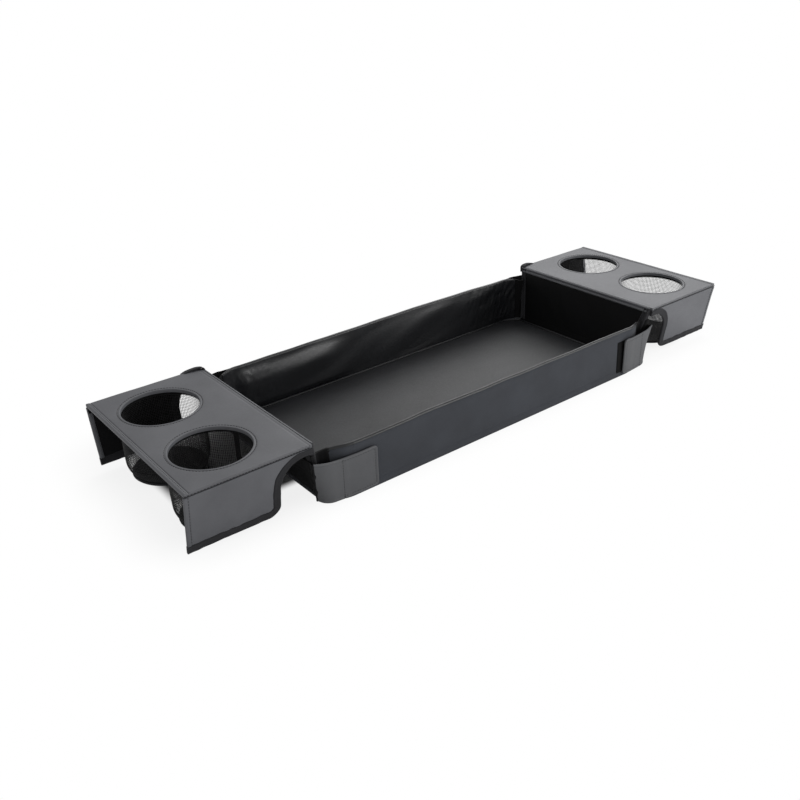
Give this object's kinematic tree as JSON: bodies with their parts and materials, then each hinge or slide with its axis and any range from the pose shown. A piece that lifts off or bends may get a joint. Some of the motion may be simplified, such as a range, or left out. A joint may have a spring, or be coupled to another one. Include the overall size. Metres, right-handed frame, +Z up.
{
  "type": "cup holder tray",
  "caption": "Soft-sided tray that hangs between two rails, with a stiff panel of mesh cup holders over each rail, hanging side flaps and hook-and-loop corner tabs.",
  "frame": {"origin": "centre of the tray's underside, on the surface that it stands on", "axes": "+X along the tray through both cup panels, +Z up; the front wall is on the -Y side"},
  "size_m": [0.8522, 0.2626, 0.0849],
  "materials": {
    "liner_vinyl": "smooth dark vinyl, soft sheen",
    "panel_vinyl": "fine-grained matte leatherette",
    "tab_vinyl": "fine-grained matte leatherette",
    "outer_fabric": "brushed loop fabric, matte",
    "gusset_fabric": "soft black fabric",
    "black_lining": "black woven lining",
    "cup_mesh": "open square mesh",
    "cup_base_fabric": "black woven fabric",
    "binding_tape": "ribbed binding tape, matte",
    "hook_and_loop": "hook and loop tape",
    "stiffener": "unfinished board"
  },
  "bodies": {
    "tray_base": {"floor_liner": "liner_vinyl", "floor_board": "stiffener", "base_cover": "outer_fabric", "floor_welts": "liner_vinyl", "front_left_gusset": "gusset_fabric", "front_right_gusset": "gusset_fabric", "back_left_gusset": "gusset_fabric", "back_right_gusset": "gusset_fabric"},
    "front_wall": {"front_wall_liner": "liner_vinyl", "front_wall_board": "stiffener", "front_wall_cover": "outer_fabric", "front_loop_patches": "hook_and_loop"},
    "back_wall": {"back_wall_liner": "liner_vinyl", "back_wall_board": "stiffener", "back_wall_cover": "outer_fabric", "back_loop_patches": "hook_and_loop"},
    "left_end": {"left_end_liner": "liner_vinyl", "left_end_board": "stiffener", "left_end_cover": "outer_fabric", "left_end_bindings": "binding_tape"},
    "right_end": {"right_end_liner": "liner_vinyl", "right_end_board": "stiffener", "right_end_cover": "outer_fabric", "right_end_bindings": "binding_tape"},
    "left_panel": {"left_panel_skin": "panel_vinyl", "left_panel_board": "stiffener", "left_panel_lining": "black_lining", "left_hole_hems": "panel_vinyl", "left_front_cup": "cup_mesh", "left_back_cup": "cup_mesh", "left_cup_bases": "cup_base_fabric", "left_cup_piping": "binding_tape"},
    "right_panel": {"right_panel_skin": "panel_vinyl", "right_panel_board": "stiffener", "right_panel_lining": "black_lining", "right_hole_hems": "panel_vinyl", "right_front_cup": "cup_mesh", "right_back_cup": "cup_mesh", "right_cup_bases": "cup_base_fabric", "right_cup_piping": "binding_tape"},
    "left_front_flap": {"left_front_flap_skin": "panel_vinyl", "left_front_flap_stiffener": "black_lining", "left_front_flap_binding": "binding_tape"},
    "left_back_flap": {"left_back_flap_skin": "panel_vinyl", "left_back_flap_stiffener": "black_lining", "left_back_flap_binding": "binding_tape"},
    "right_front_flap": {"right_front_flap_skin": "panel_vinyl", "right_front_flap_stiffener": "black_lining", "right_front_flap_binding": "binding_tape"},
    "right_back_flap": {"right_back_flap_skin": "panel_vinyl", "right_back_flap_stiffener": "black_lining", "right_back_flap_binding": "binding_tape"},
    "front_left_tab": {"front_left_tab": "tab_vinyl", "front_left_hook_pad": "hook_and_loop"},
    "front_right_tab": {"front_right_tab": "tab_vinyl", "front_right_hook_pad": "hook_and_loop"},
    "back_left_tab": {"back_left_tab": "tab_vinyl", "back_left_hook_pad": "hook_and_loop"},
    "back_right_tab": {"back_right_tab": "tab_vinyl", "back_right_hook_pad": "hook_and_loop"}
  },
  "joints": [
    {"name": "front_wall_fold", "type": "hinge", "parent": "tray_base", "child": "front_wall", "pos_m": [0, -0.1205, 0.0065], "axis": [-1, 0, 0], "range_deg": [0, 90], "deforming": ["front_left_gusset", "front_right_gusset"]},
    {"name": "back_wall_fold", "type": "hinge", "parent": "tray_base", "child": "back_wall", "pos_m": [0, 0.1205, 0.0065], "axis": [1, 0, 0], "range_deg": [0, 90], "deforming": ["back_left_gusset", "back_right_gusset"]},
    {"name": "left_end_fold", "type": "hinge", "parent": "tray_base", "child": "left_end", "pos_m": [-0.2667, 0, 0.0065], "axis": [0, -1, 0], "range_deg": [0, 77], "deforming": ["front_left_gusset", "back_left_gusset"]},
    {"name": "right_end_fold", "type": "hinge", "parent": "tray_base", "child": "right_end", "pos_m": [0.2667, 0, 0.0065], "axis": [0, 1, 0], "range_deg": [0, 77], "deforming": ["front_right_gusset", "back_right_gusset"]},
    {"name": "left_panel_fold", "type": "hinge", "parent": "left_end", "child": "left_panel", "pos_m": [-0.28, 0, 0.0845], "axis": [0, 1, 0], "range_deg": [0, 180]},
    {"name": "right_panel_fold", "type": "hinge", "parent": "right_end", "child": "right_panel", "pos_m": [0.28, 0, 0.0845], "axis": [0, -1, 0], "range_deg": [0, 180]},
    {"name": "left_front_flap_fold", "type": "hinge", "parent": "left_panel", "child": "left_front_flap", "pos_m": [-0.353, -0.126, 0.07946], "axis": [-1, 0, 0], "range_deg": [0, 99]},
    {"name": "left_back_flap_fold", "type": "hinge", "parent": "left_panel", "child": "left_back_flap", "pos_m": [-0.353, 0.126, 0.07946], "axis": [1, 0, 0], "range_deg": [0, 99]},
    {"name": "right_front_flap_fold", "type": "hinge", "parent": "right_panel", "child": "right_front_flap", "pos_m": [0.353, -0.126, 0.07946], "axis": [-1, 0, 0], "range_deg": [0, 99]},
    {"name": "right_back_flap_fold", "type": "hinge", "parent": "right_panel", "child": "right_back_flap", "pos_m": [0.353, 0.126, 0.07946], "axis": [1, 0, 0], "range_deg": [0, 99]},
    {"name": "front_left_tab_peel", "type": "hinge", "parent": "left_end", "child": "front_left_tab", "pos_m": [-0.26741, -0.098, 0.0065], "axis": [0.225, 0, -0.9744], "range_deg": [0, 85]},
    {"name": "front_right_tab_peel", "type": "hinge", "parent": "right_end", "child": "front_right_tab", "pos_m": [0.26741, -0.098, 0.0065], "axis": [0.225, 0, 0.9744], "range_deg": [0, 85]},
    {"name": "back_left_tab_peel", "type": "hinge", "parent": "left_end", "child": "back_left_tab", "pos_m": [-0.26741, 0.098, 0.0065], "axis": [-0.225, 0, 0.9744], "range_deg": [0, 85]},
    {"name": "back_right_tab_peel", "type": "hinge", "parent": "right_end", "child": "back_right_tab", "pos_m": [0.26741, 0.098, 0.0065], "axis": [-0.225, 0, -0.9744], "range_deg": [0, 85]}
  ]
}
